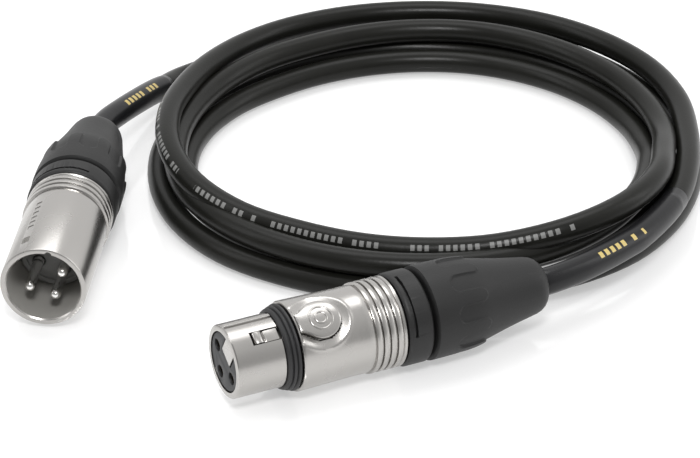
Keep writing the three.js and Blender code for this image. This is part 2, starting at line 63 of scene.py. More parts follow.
bpy.ops.object.select_all(action="DESELECT")
bpy.ops.mesh.primitive_plane_add(size=6, location=(0, 0, FLOOR_HEIGHT * MM))
floor = bpy.context.object
floor.name = "floor"
floor_paint = bpy.data.materials.new("floor_paint")
floor_paint.use_nodes = True
floor_shader = floor_paint.node_tree.nodes["Principled BSDF"]
floor_shader.inputs["Base Color"].default_value = (0.6, 0.6, 0.6, 1)
floor_shader.inputs["Roughness"].default_value = 0.09
floor_shader.inputs["IOR"].default_value = 1.7
floor_shader.inputs["Emission Color"].default_value = (1, 1, 1, 1)
floor_shader.inputs["Emission Strength"].default_value = 0.42
floor.data.materials.append(floor_paint)


def soft_box(name, place, width, height, power):
    """A rectangular lamp aimed at the coil's middle, with its place and size in metres."""
    lamp = bpy.data.lights.new(name, "AREA")
    lamp.shape = "RECTANGLE"
    lamp.size = width
    lamp.size_y = height
    lamp.energy = power
    holder = bpy.data.objects.new(name, lamp)
    holder.location = place
    way = LAMP_TARGET - Vector(place)
    holder.rotation_euler = way.to_track_quat("-Z", "Y").to_euler()
    bpy.context.collection.objects.link(holder)


soft_box("key_box", (0.09, -0.6, 0.8), 0.2, 0.2, 4.8)
soft_box("top_box", (-0.1, 0.35, 1.0), 0.9, 0.5, 3.6)
soft_box("left_box", (-0.9, -0.2, 0.7), 0.35, 0.8, 2.2)
soft_box("right_box", (0.9, 0.3, 0.5), 0.2, 0.7, 1.2)

room = bpy.data.worlds.new("room")
bpy.context.scene.world = room
room.use_nodes = True
room_nodes = room.node_tree.nodes
room_links = room.node_tree.links
room_way = room_nodes.new("ShaderNodeTexCoord")
room_side = room_nodes.new("ShaderNodeVectorMath")
room_side.operation = "DOT_PRODUCT"
room_side.inputs[1].default_value = (0.4, 0.92, 0)
room_fade = room_nodes.new("ShaderNodeMapRange")
room_fade.inputs["From Min"].default_value = -0.7
room_fade.inputs["From Max"].default_value = 0.5
room_fade.inputs["To Min"].default_value = 0.3
room_fade.inputs["To Max"].default_value = 1.0
room_nodes["Background"].inputs["Color"].default_value = (1, 1, 1, 1)
room_links.new(room_way.outputs["Generated"], room_side.inputs[0])
room_links.new(room_side.outputs["Value"], room_fade.inputs["Value"])
room_links.new(room_fade.outputs["Result"], room_nodes["Background"].inputs["Strength"])

# ---- the cable ---------------------------------------------------------------------------------
# A microphone cable in a flexible PVC jacket, 5.7 mm thick, extruded in one length. It leaves the
# socket connector's boot, lies in about four and a half turns of a loose flat coil and goes into
# the other connector.

CABLE_RADIUS = 2.85
SLEEVE_WALL = 0.2
SLEEVE_RADIUS = CABLE_RADIUS + SLEEVE_WALL
COIL_CENTRE = (26.3, 63.8)

socket_lead = [
    (57.85, -6.1, 10.25),
    (59.56, -5.06, 10.25),
    (65.6, 0.4, 10.1),
    (71.2, 7.0, 9.8),
    (75.4, 12.6, 9.6),
    (78.6, 17.4, 9.4),
]
plug_lead = [
    (-35.4, 96.7, 3.5),
    (-39.1, 88.2, 5.0),
    (-41.7, 81.0, 6.5),
    (-44.0, 73.4, 8.0),
    (-46.4, 65.6, 9.3),
    (-48.4, 59.3, 10.0),
    (-49.4, 54.15, 10.25),
    (-49.4, 52.15, 10.25),
]

# Where the turns lie: degrees round the coil from +X, distance from its centre, and height.
coil_places = [
    (-31, 67.3, 9.0), (-24, 66.1, 8.8), (-12, 64.0, 8.8), (6, 62.9, 8.6), (33, 65.5, 8.6),
    (64, 66.6, 8.6), (96, 65.3, 8.6), (119, 64.6, 8.7), (139, 61.8, 10), (164, 58.8, 12.3),
    (186, 59.8, 13.6), (206, 61.2, 12.8), (224, 60.4, 10.8), (246, 56.3, 9.0), (276, 55.7, 8.6),
    (292, 58.8, 10.2), (304, 61.8, 12.4), (312, 63.6, 13.8), (325, 62.8, 14.0), (334, 61.7, 13.8),
    (345, 58.7, 12.2), (359, 57.3, 10), (369, 57.0, 8.6), (396, 55.8, 8.6), (440, 55.5, 8.6),
    (462, 54.3, 8.6), (484, 53.2, 8.6), (507, 54.2, 8.6), (529, 55.8, 8.4), (551, 58.2, 8.4),
    (576, 61.5, 8.4), (606, 62.6, 8.4), (636, 62.4, 8.4), (656, 61.5, 8.2), (676, 59.5, 8.2),
    (696, 57.0, 8.2), (711, 54.6, 6.8), (726, 53.2, 4.2), (741, 52.6, 2.95), (772, 50.8, 2.9),
    (798, 49.7, 2.9), (830, 48.5, 2.9), (859, 49.2, 2.9), (881, 52.2, 2.9), (902, 55.0, 2.9),
    (920, 56.9, 2.9), (940, 57.2, 2.9), (962, 56.0, 2.9), (990, 54.3, 2.9), (1030, 54.4, 2.9),
    (1075, 57.6, 2.9), (1120, 57.4, 2.9), (1170, 56.0, 2.9), (1210, 56.6, 2.9), (1245, 59.5, 2.9),
    (1275, 62.7, 2.9), (1306, 65.2, 2.9), (1331, 64.5, 2.9), (1365, 64.4, 2.9), (1400, 65.6, 2.9),
    (1430, 64.2, 2.9), (1466, 63.8, 2.9), (1500, 64.4, 2.9), (1536, 65.2, 2.9), (1566, 67.0, 2.9),
    (1580, 68.6, 3.1),
]
STEPS_PER_TURN = 24
PARTS_PER_STEP = 5


def eased(before, start, end, after, share):
    """A value on the smooth curve through four neighbours, between the middle two."""
    (x0, y0), (x1, y1), (x2, y2), (x3, y3) = before, start, end, after
    span = x2 - x1
    slope_1 = (y2 - y0) / (x2 - x0) * span
    slope_2 = (y3 - y1) / (x3 - x1) * span
    a = 2 * y1 - 2 * y2 + slope_1 + slope_2
    b = -3 * y1 + 3 * y2 - 2 * slope_1 - slope_2
    return ((a * share + b) * share + slope_1) * share + y1


def coil_point(degrees):
    """The point of the coil at that angle, counted on through all its turns."""
    i = max(j for j in range(1, len(coil_places) - 2) if coil_places[j][0] <= degrees)
    near = coil_places[i - 1:i + 3]
    share = (degrees - near[1][0]) / (near[2][0] - near[1][0])
    radius = eased(*[(place[0], place[1]) for place in near], share)
    height = eased(*[(place[0], place[2]) for place in near], share)
    angle = math.radians(degrees)
    x = COIL_CENTRE[0] + radius * math.cos(angle)
    y = COIL_CENTRE[1] + radius * math.sin(angle)
    return (x, y, height)


first_angle = coil_places[1][0]
last_angle = coil_places[-2][0]
coil_steps = round((last_angle - first_angle) / 360 * STEPS_PER_TURN)
coil_line = []
for step in range(coil_steps + 1):
    coil_line.append(coil_point(first_angle + (last_angle - first_angle) * step / coil_steps))


def smooth_line(points, parts):
    """A curve through the points, with that many parts between each two."""
    points = [Vector(point) for point in points]
    line = []
    padded = [2 * points[0] - points[1], *points, 2 * points[-1] - points[-2]]
    for p0, p1, p2, p3 in zip(padded, padded[1:], padded[2:], padded[3:]):
        gaps = [(b - a).length ** 0.5 for a, b in ((p0, p1), (p1, p2), (p2, p3))]
        slope_1 = (p1 - p0) / gaps[0] - (p2 - p0) / (gaps[0] + gaps[1]) + (p2 - p1) / gaps[1]
        slope_2 = (p2 - p1) / gaps[1] - (p3 - p1) / (gaps[1] + gaps[2]) + (p3 - p2) / gaps[2]
        slope_1 *= gaps[1]
        slope_2 *= gaps[1]
        for part in range(parts):
            s = part / parts
            a = 2 * p1 - 2 * p2 + slope_1 + slope_2
            b = -3 * p1 + 3 * p2 - 2 * slope_1 - slope_2
            line.append(((a * s + b) * s + slope_1) * s + p1)
    line.append(points[-1])
    return line


def mesh_piece(name, verts, faces):
    """A piece made of the given corners, in metres, and faces."""
    mesh = bpy.data.meshes.new(name)
    mesh.from_pydata(verts, [], faces)
    piece = bpy.data.objects.new(name, mesh)
    bpy.context.collection.objects.link(piece)
    return piece


DRAWN_RINGS = 2
DRAWN_SHARE = 0.9


def tube(name, line, radius, sides=24, wall=0):
    """A round rod along a line, with its length in metres and its way round as its UV map.
    With a wall, its ends are drawn in by nearly that much, as a sleeve's are."""
    count = len(line)
    verts = []
    along = [0.0]
    for a, b in zip(line, line[1:]):
        along.append(along[-1] + (b - a).length)
    for i, point in enumerate(line):
        ahead = (line[min(i + 1, count - 1)] - line[max(i - 1, 0)]).normalized()
        side = ahead.cross(Vector((0, 0, 1))).normalized()
        up = side.cross(ahead)
        from_end = min(i, count - 1 - i)
        swell = 1 - wall / radius * DRAWN_SHARE * max(0, 1 - from_end / DRAWN_RINGS) ** 2
        for k in range(sides):
            turn = 2 * math.pi * k / sides
            outward = side * math.cos(turn) + up * math.sin(turn)
            verts.append((point + outward * radius * swell) * MM)
    faces = []
    for i in range(count - 1):
        for k in range(sides):
            n = (k + 1) % sides
            here, there = i * sides, (i + 1) * sides
            faces.append((here + k, there + k, there + n, here + n))
    faces.append(tuple(range(sides)))
    faces.append(tuple((count - 1) * sides + k for k in reversed(range(sides))))
    piece = mesh_piece(name, verts, faces)
    mesh = piece.data
    layer = mesh.uv_layers.new(name="UVMap")
    for face in mesh.polygons:
        on_seam = len(face.vertices) == 4 and sides - 1 in [v % sides for v in face.vertices]
        for corner, vertex in zip(face.loop_indices, face.vertices):
            ring, k = divmod(vertex, sides)
            if k == 0 and on_seam:
                k = sides
            layer.data[corner].uv = (along[ring] * MM, k / sides)
    mesh.validate()
    mesh.update()
    mesh.shade_smooth()
    return piece


route = [*socket_lead, *coil_line, *plug_lead]
cable_line = smooth_line(route, PARTS_PER_STEP)
cable = tube("cable_run", cable_line, CABLE_RADIUS)


def nearest(line, place):
    """The number of the line's point that is nearest to a place."""
    return min(range(len(line)), key=lambda i: (line[i] - Vector(place)).length)


# The heat-shrink sleeves, one slid on beside each boot and shrunk, a little glossier.
SLEEVE_END_ANGLE = -24
SLEEVE_SIDES = 32
socket_sleeve_line = cable_line[:nearest(cable_line, coil_point(SLEEVE_END_ANGLE)) + 1]
plug_sleeve_line = cable_line[nearest(cable_line, plug_lead[1]):]
socket_sleeve = tube(
    "socket_shrink_sleeve", socket_sleeve_line, SLEEVE_RADIUS, SLEEVE_SIDES, SLEEVE_WALL,
)
plug_sleeve = tube(
    "plug_shrink_sleeve", plug_sleeve_line, SLEEVE_RADIUS, SLEEVE_SIDES, SLEEVE_WALL,
)

for piece, body, nodes, slot in (
    (cable, "cable", ("cable_coil", "plug_lead"), "cable_jacket"),
    (socket_sleeve, "cable", ("socket_lead_sleeve",), "shrink_sleeve"),
    (plug_sleeve, "cable", ("plug_lead_sleeve",), "shrink_sleeve"),
):
    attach(piece, body)
    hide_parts(*nodes)


def shader_group(name, inputs, outputs):
    """An empty node group with float inputs and outputs of the given kinds."""
    group = bpy.data.node_groups.new(name, "ShaderNodeTree")
    for label, value in inputs:
        socket = group.interface.new_socket(label, in_out="INPUT", socket_type="NodeSocketFloat")
        socket.default_value = value
    for label, kind in outputs:
        group.interface.new_socket(label, in_out="OUTPUT", socket_type=kind)
    return group, group.nodes.new("NodeGroupInput"), group.nodes.new("NodeGroupOutput")


# Where a Mix node that mixes colours has its two colours and its result.
MIX_FIRST, MIX_SECOND, MIX_RESULT = 6, 7, 2


def joined(tree, kind, settings=(), **links):
    """A node added to a tree, with its plain values set and its inputs linked by name."""
    node = tree.nodes.new(kind)
    for key, value in dict(settings).items():
        if hasattr(node, key):
            setattr(node, key, value)
        else:
            node.inputs[key].default_value = value
    for key, source in links.items():
        tree.links.new(source, node.inputs[key])
    return node


def worked(tree, operation, *values):
    """The result of a maths node whose inputs are links or plain numbers."""
    node = joined(tree, "ShaderNodeMath", {"operation": operation})
    for slot, value in enumerate(values):
        if isinstance(value, float):
            node.inputs[slot].default_value = value
        else:
            tree.links.new(value, node.inputs[slot])
    return node.outputs[0]


# Moulded and plated surfaces share one fine grain: a soft unevenness in tone and gloss, and a
# much finer tooth that breaks up the highlight.
grain_group, grain_in, grain_out = shader_group(
    "surface_grain",
    [
        ("Size", 900.0), ("Tooth", 0.1), ("Gloss", 0.4), ("Gloss Spread", 0.1),
        ("Tone Spread", 0.15),
    ],
    [
        ("Roughness", "NodeSocketFloat"), ("Normal", "NodeSocketVector"),
        ("Tone", "NodeSocketFloat"),
    ],
)
grain_place = joined(grain_group, "ShaderNodeTexCoord")
grain_fine = joined(
    grain_group, "ShaderNodeTexNoise", {"Detail": 3.0},
    Vector=grain_place.outputs["Object"], Scale=grain_in.outputs["Size"],
)
grain_broad = joined(
    grain_group, "ShaderNodeTexNoise", {"Scale": 90.0, "Detail": 4.0},
    Vector=grain_place.outputs["Object"],
)
grain_bump = joined(
    grain_group, "ShaderNodeBump", {"Distance": 0.0001},
    Strength=grain_in.outputs["Tooth"], Height=grain_fine.outputs["Fac"],
)
grain_centred = worked(grain_group, "SUBTRACT", grain_broad.outputs["Fac"], 0.5)
grain_gloss = worked(
    grain_group, "MULTIPLY_ADD", grain_centred, grain_in.outputs["Gloss Spread"],
    grain_in.outputs["Gloss"],
)
grain_tone = worked(
    grain_group, "MULTIPLY_ADD", grain_centred, grain_in.outputs["Tone Spread"], 1.0,
)
grain_group.links.new(grain_gloss, grain_out.inputs["Roughness"])
grain_group.links.new(grain_bump.outputs["Normal"], grain_out.inputs["Normal"])
grain_group.links.new(grain_tone, grain_out.inputs["Tone"])


def finish_of(name, colour, metallic=0.0, specular=0.5, **grain):
    """A material with the shared grain on it, its values given by the grain's input names."""
    material = bpy.data.materials.new(name)
    material.use_nodes = True
    tree = material.node_tree
    shader = tree.nodes["Principled BSDF"]
    shader.inputs["Metallic"].default_value = metallic
    shader.inputs["Specular IOR Level"].default_value = specular
    surface = joined(tree, "ShaderNodeGroup", {"node_tree": grain_group})
    for key, value in grain.items():
        surface.inputs[key.replace("_", " ").title()].default_value = value
    toned = joined(
        tree, "ShaderNodeMix",
        {"data_type": "RGBA", "blend_type": "MULTIPLY", "clamp_result": False, "Factor": 1.0},
    )
    toned.inputs[MIX_FIRST].default_value = (*colour, 1)
    tree.links.new(surface.outputs["Tone"], toned.inputs[MIX_SECOND])
    tree.links.new(toned.outputs[MIX_RESULT], shader.inputs["Base Color"])
    tree.links.new(surface.outputs["Roughness"], shader.inputs["Roughness"])
    tree.links.new(surface.outputs["Normal"], shader.inputs["Normal"])
    return material


jacket = finish_of(
    "cable_jacket", (0.009, 0.009, 0.0075), specular=0.2, size=1500.0, tooth=0.22, gloss=0.33,
    gloss_spread=0.16, tone_spread=0.5,
)
cable.data.materials.append(jacket)

# Where a cable is printed: a row of plain short bars between two lengths along it, on one side.
# A bar fills part of each pitch, and some are left out as the gaps between words.
BAR_SHARE = 0.6
LEFT_OUT_SHARE = 0.13
print_group, print_in, print_out = shader_group(
    "printed_bars",
    [
        ("Start", 0.0), ("End", 0.1), ("Side", 0.1), ("Half Height", 0.05), ("Pitch", 0.0024),
        ("Seed", 0.0),
    ],
    [("Mask", "NodeSocketFloat")],
)
print_place = joined(print_group, "ShaderNodeTexCoord")
print_split = joined(print_group, "ShaderNodeSeparateXYZ", Vector=print_place.outputs["UV"])
along, around = print_split.outputs["X"], print_split.outputs["Y"]
cell = worked(print_group, "DIVIDE", along, print_in.outputs["Pitch"])
bar = worked(print_group, "LESS_THAN", worked(print_group, "FRACT", cell), BAR_SHARE)
number = worked(print_group, "FLOOR", cell)
seeded = worked(print_group, "ADD", number, print_in.outputs["Seed"])
chance = joined(print_group, "ShaderNodeTexWhiteNoise", {"noise_dimensions": "1D"}, W=seeded)
kept_bar = worked(print_group, "GREATER_THAN", chance.outputs["Value"], LEFT_OUT_SHARE)
off_side = worked(print_group, "SUBTRACT", around, print_in.outputs["Side"])
off_side = worked(print_group, "ABSOLUTE", off_side)
in_band = worked(print_group, "LESS_THAN", off_side, print_in.outputs["Half Height"])
after_start = worked(print_group, "GREATER_THAN", along, print_in.outputs["Start"])
before_end = worked(print_group, "LESS_THAN", along, print_in.outputs["End"])
mask = bar
for test in (kept_bar, in_band, after_start, before_end):
    mask = worked(print_group, "MULTIPLY", mask, test)
print_group.links.new(mask, print_out.inputs["Mask"])


def printed(material, colour, **places):
    """Prints a row of bars over a material's base colour, placed by the print's input names."""
    tree = material.node_tree
    base = tree.nodes["Principled BSDF"].inputs["Base Color"]
    bars = joined(tree, "ShaderNodeGroup", {"node_tree": print_group})
    for key, value in places.items():
        bars.inputs[key.replace("_", " ").title()].default_value = value
    inked = joined(
        tree, "ShaderNodeMix", {"data_type": "RGBA"}, Factor=bars.outputs["Mask"],
    )
    tree.links.new(base.links[0].from_socket, inked.inputs[MIX_FIRST])
    inked.inputs[MIX_SECOND].default_value = (*colour, 1)
    tree.links.new(inked.outputs[MIX_RESULT], base)


for start, end, seed in ((0.284, 0.3155, 3.0), (0.3225, 0.3695, 8.0), (0.3745, 0.414, 21.0)):
    printed(
        jacket, (0.2, 0.2, 0.195), start=start, end=end, side=0.105, half_height=0.038,
        pitch=0.0016, seed=seed,
    )
for sleeve, start, end, side in (
    (socket_sleeve, 0.014, 0.0312, 0.155),
    (plug_sleeve, 0.0075, 0.0255, 0.34),
):
    shrink = finish_of(
        "shrink_tubing", (0.010, 0.010, 0.011), specular=0.28, size=700.0, tooth=0.2, gloss=0.3,
        gloss_spread=0.12, tone_spread=0.4,
    )
    printed(
        shrink, (0.55, 0.43, 0.16), start=start, end=end, side=side, half_height=0.04,
        pitch=0.0019, seed=5.0,
    )
    sleeve.data.materials.append(shrink)

# ---- how the two connectors lie ----------------------------------------------------------------
# Each is built along its own axis, z running back from its front face and +y towards the latch,
# then laid down where its shell's front mount and its boot's joint are.


def lying(front_mount, turn_joint):
    """The matrix that lays a connector down on the floor."""
    mount = next(m for m in frame["record"]["mounts"] if m["name"] == front_mount)
    joint = next(j for j in frame["joints"] if j["name"] == turn_joint)
    back = Vector(joint["axis"]).normalized()
    rim = Vector(mount["pos_m"])
    on_axis = Vector(joint["pos_m"])
    front = on_axis + back * (rim - on_axis).dot(back)
    across = (rim - front).normalized()
    latch_way = back.cross(across)
    place = Matrix.Identity(4)
    for row in range(3):
        place[row][0:4] = (across[row], latch_way[row], back[row], front[row])
    return place


socket_place = lying("socket_front_face", "socket_boot_turn")
plug_place = lying("plug_front_rim", "plug_boot_turn")


MERGE_GAP = 0.002


def only(piece):
    """Selects a piece alone and makes it the active one."""
    bpy.ops.object.select_all(action="DESELECT")
    piece.select_set(True)
    bpy.context.view_layer.objects.active = piece


def faced_outwards(piece):
    """Turns the faces of the active piece outwards, and leaves edit mode."""
    if piece.mode != "EDIT":
        bpy.ops.object.mode_set(mode="EDIT")
    bpy.ops.mesh.select_all(action="SELECT")
    bpy.ops.mesh.normals_make_consistent(inside=False)
    bpy.ops.object.mode_set(mode="OBJECT")


def turned(name, outline, sides=96, closed=True):
    """A turned piece: a ring drawn at the outline's first (back, radius) and pulled through the
    rest. A closed outline ends where it began, and an open one has a flat end at each side."""
    back, radius = outline[0]
    bpy.ops.object.select_all(action="DESELECT")
    bpy.ops.mesh.primitive_circle_add(
        vertices=sides, radius=radius * MM, location=(0, 0, back * MM),
    )
    piece = bpy.context.object
    piece.name = name
    piece.data.name = name
    bpy.ops.object.transform_apply(location=True, rotation=True, scale=True)
    bpy.ops.object.mode_set(mode="EDIT")
    bpy.ops.mesh.select_all(action="SELECT")
    stops = [*outline[1:], outline[0]] if closed else outline[1:]
    for next_back, next_radius in stops:
        step = (0, 0, (next_back - back) * MM)
        bpy.ops.mesh.extrude_edges_move(TRANSFORM_OT_translate={"value": step})
        ratio = next_radius / radius
        if ratio != 1:
            centre = (0, 0, next_back * MM)
            bpy.ops.transform.resize(value=(ratio, ratio, 1), center_override=centre)
        back, radius = next_back, next_radius
    bpy.ops.mesh.select_all(action="SELECT")
    bpy.ops.mesh.remove_doubles(threshold=MERGE_GAP * MM)
    if not closed:
        bpy.ops.mesh.fill_holes(sides=0)
    faced_outwards(piece)
    return piece


def softened(piece, width, degrees=35, segments=3):
    """Rounds the edges of a piece that are sharper than the angle."""
    only(piece)
    bevel = piece.modifiers.new("bevel", "BEVEL")
    bevel.width = width * MM
    bevel.segments = segments
    bevel.limit_method = "ANGLE"
    bevel.angle_limit = math.radians(degrees)
    bevel.miter_outer = "MITER_ARC"
    bpy.ops.object.modifier_apply(modifier="bevel")
    return piece


def combined(piece, tool, how):
    """Cuts a tool out of a piece, or adds it, and removes the tool."""
    only(piece)
    boolean = piece.modifiers.new("boolean", "BOOLEAN")
    boolean.operation = how
    boolean.solver = "EXACT"
    boolean.object = tool
    bpy.ops.object.modifier_apply(modifier="boolean")
    bpy.data.objects.remove(tool)
    return piece


def block(name, low, high):
    """A block between two corners, in mm."""
    size = [(b - a) * MM for a, b in zip(low, high)]
    middle = [(a + b) / 2 * MM for a, b in zip(low, high)]
    bpy.ops.object.select_all(action="DESELECT")
    bpy.ops.mesh.primitive_cube_add(size=1, location=middle, scale=size)
    piece = bpy.context.object
    piece.name = name
    bpy.ops.object.transform_apply(location=True, rotation=True, scale=True)
    return piece


def swung(piece, degrees):
    """Turns a piece about the connector's axis, from the latch's side towards its +x."""
    piece.data.transform(Matrix.Rotation(math.radians(-degrees), 4, "Z"))
    return piece


def placed(piece, place, body, slot, material, *nodes, smooth=32):
    """Lays a finished piece down, and says what it rides on, stands for and is made of."""
    only(piece)
    bpy.ops.object.shade_smooth_by_angle(angle=math.radians(smooth))
    piece.data.transform(place)
    piece.data.update()
    piece.data.materials.clear()
    piece.data.materials.append(material)
    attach(piece, body)
    if nodes:
        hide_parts(*nodes)
    return piece


# ---- the socket connector's shell --------------------------------------------------------------
# A zinc casting with satin nickel plate: a plain nose with a key and a window, a body with a
# scooped seat for the latch's pad, and a rear with four rounded ribs.

NOSE_RADIUS = 8.0
NOSE_LENGTH = 11.0
NOSE_BORE_RADIUS = 6.65
GASKET_SEAT_RADIUS = 7.55
GASKET_REAR = 14.2
BODY_RADIUS = 9.82
SOCKET_LENGTH = 38.3
REAR_BORE_RADIUS = 8.0
REAR_BORE_LENGTH = 9.6
KEY_ANGLE = 38
PAD_MIDDLE = 19.9
PAD_RADIUS = 4.4
NECK_HALF = 2.1
PAD_CLEARANCE = 0.28
PAD_HOLLOW = 1.5
SEAT_DEPTH = 0.62
SEAT_WIDTH = 2.1
RIM_RISE = 0.12
RIM_AWAY = 2.3
RIM_WIDTH = 0.35
SEAT_RINGS = 46
SEAT_RING_STEP = 0.28

nickel = finish_of(
    "satin_nickel", (0.45, 0.437, 0.42), metallic=1.0, size=1600.0, tooth=0.08, gloss=0.27,
    gloss_spread=0.08, tone_spread=0.06,
)


def ribs(first, last, body_radius, top_radius, count):
    """The outline of rounded ribs with a sharp groove in front of each."""
    pitch = (last - first) / count
    groove_depth, groove_width = 0.15, 0.12
    points = []
    for rib in range(count):
        start = first + rib * pitch
        points.append((start, body_radius - groove_depth))
        points.append((start + groove_width, body_radius - groove_depth))
        for share in (0.14, 0.24, 0.38, 0.55, 0.75, 0.97):
            swell = math.sin(math.pi * min(1, share * 0.9 + 0.1)) ** 0.6
            rise = (top_radius - body_radius) * swell
            points.append((start + share * pitch, body_radius + rise))
    return points


def pad_distance(u, back):
    """How far a point of the unrolled body is outside the pad's teardrop outline."""
    disc = math.hypot(u, back - PAD_MIDDLE) - PAD_RADIUS
    neck = max(abs(u) - NECK_HALF, back - PAD_MIDDLE)
    blend = 1.6
    share = max(0, min(1, 0.5 + 0.5 * (disc - neck) / blend))
    return disc * (1 - share) + neck * share - blend * share * (1 - share)


# The body narrows a little on its way back, by close rings that the pad's seat is shaped from.
seat_rings = [
    (GASKET_REAR + 0.7 + SEAT_RING_STEP * i, BODY_RADIUS - 0.006 * i) for i in range(SEAT_RINGS)
]
shell_outline = [
    (0, NOSE_BORE_RADIUS), (0, NOSE_RADIUS - 0.38), (0.1, NOSE_RADIUS - 0.16),
    (0.35, NOSE_RADIUS), (NOSE_LENGTH - 0.12, NOSE_RADIUS), (NOSE_LENGTH, NOSE_RADIUS - 0.12),
    (NOSE_LENGTH, GASKET_SEAT_RADIUS), (GASKET_REAR, GASKET_SEAT_RADIUS), (GASKET_REAR, 9.45),
    (GASKET_REAR + 0.1, 9.68), (GASKET_REAR + 0.35, BODY_RADIUS),
    *seat_rings, (29.4, 9.58), (30.4, 9.6),
    *ribs(30.9, SOCKET_LENGTH - 0.9, 9.62, 10.0, 4),
    (SOCKET_LENGTH - 0.8, 9.9), (SOCKET_LENGTH - 0.3, 9.95), (SOCKET_LENGTH, 9.7),
    (SOCKET_LENGTH, REAR_BORE_RADIUS), (SOCKET_LENGTH - REAR_BORE_LENGTH, REAR_BORE_RADIUS),
    (SOCKET_LENGTH - REAR_BORE_LENGTH, NOSE_BORE_RADIUS),
]
shell = turned("socket_shell_casting", shell_outline, 192)
for vertex in shell.data.vertices:
    x, y, back = vertex.co / MM
    radius = math.hypot(x, y)
    if radius < 9 or not GASKET_REAR + 0.5 < back < 28.5:
        continue
    outside = pad_distance(radius * math.atan2(x, y), back)
    if outside < PAD_CLEARANCE:
        drop = PAD_HOLLOW
    else:
        share = max(0, 1 - (outside - PAD_CLEARANCE) / SEAT_WIDTH)
        rim = RIM_RISE * math.exp(-((outside - RIM_AWAY) / RIM_WIDTH) ** 2)
        drop = SEAT_DEPTH * share * share * (3 - 2 * share) - rim
    vertex.co.x *= (radius - drop) / radius
    vertex.co.y *= (radius - drop) / radius
key = block(
    "key", (-0.58, NOSE_RADIUS - 0.5, 0.25), (0.58, NOSE_RADIUS + 0.38, NOSE_LENGTH - 0.05),
)
combined(shell, swung(softened(key, 0.14), KEY_ANGLE), "UNION")
window = block("window", (-1.55, 5, 4.55), (1.55, NOSE_RADIUS + 2, NOSE_LENGTH + 0.1))
combined(shell, window, "DIFFERENCE")
lip = block("lip", (-2.2, 2.05, 0.02), (2.2, NOSE_BORE_RADIUS + 0.3, 1.5))
combined(shell, softened(lip, 0.1), "UNION")
slot_tool = block("latch_slot", (-1.95, 5, GASKET_REAR + 0.8), (1.95, 8.6, 28.6))
combined(shell, slot_tool, "DIFFERENCE")
placed(shell, socket_place, "cable", "shell", nickel, "socket_shell")

# ---- the latch lever ---------------------------------------------------------------------------
# One nickel-plated casting that rocks on a steel pin: a stepped hook in the nose's window, a
# tongue under the gasket, and a teardrop pad with two plain raised rings for the thumb.

LATCH_HALF = 1.35
PIVOT_UP, PIVOT_BACK = 6.9, 27.0


def side_cut(name, outline, half):
    """A plate cut to an outline of (up, back) and pulled sideways."""
    corners = [(-half * MM, up * MM, back * MM) for up, back in outline]
    piece = mesh_piece(name, corners, [range(len(corners))])
    only(piece)
    bpy.ops.object.mode_set(mode="EDIT")
    bpy.ops.mesh.select_all(action="SELECT")
    bpy.ops.mesh.extrude_region_move(TRANSFORM_OT_translate={"value": (2 * half * MM, 0, 0)})
    faced_outwards(piece)
    return piece


lever = side_cut("latch_lever_casting", [
    (4.9, 5.3), (7.0, 4.95), (7.6, 5.0), (8.0, 5.3), (8.18, 5.9), (8.18, 6.4), (8.02, 6.9),
    (7.7, 7.25), (7.4, 7.4), (7.68, 7.65), (7.72, 10.7), (6.1, 10.7), (6.1, 16.9), (9.0, 16.9),
    (9.0, 19.6), (8.1, 20.6), (8.1, 28.2), (5.6, 28.2), (5.6, 20.4), (4.9, 19.4),
], LATCH_HALF)
softened(lever, 0.12)
eye_tool = turned("eye", [(-3, 0.8), (3, 0.8)], 32, closed=False)
eye_place = Matrix.Translation((0, PIVOT_UP * MM, PIVOT_BACK * MM))
eye_tool.data.transform(eye_place @ Matrix.Rotation(math.pi / 2, 4, "Y"))
combined(lever, eye_tool, "DIFFERENCE")

# The pad's edge is followed round its middle, and its crown is set in from it ring by ring.
PAD_POINTS = 96
PAD_CURVE = 9.85
PAD_CROWN = 0.54
PAD_STEPS = 24
RING_RADII = (1.25, 2.5)
RING_THICKNESS = 0.26
pad_levels = [(0.0, -1.7), (0.0, 0.25), (0.08, 0.42), (0.22, 0.5)]
pad_levels += [(inset, PAD_CROWN) for inset in (0.5, 1.2, 2.0, 2.8, 3.5, 4.1, 4.35)]


def pad_reach(turn, inset):
    """How far the pad's outline, set in by that much, is from its middle in one direction."""
    near, far = 0.0, 8.0
    for _ in range(PAD_STEPS):
        reach = (near + far) / 2
        back = PAD_MIDDLE + reach * math.cos(turn)
        inside = pad_distance(reach * math.sin(turn), back) < -inset
        if inside and back > GASKET_REAR + 0.35 + inset:
            near = reach
        else:
            far = reach
    return near


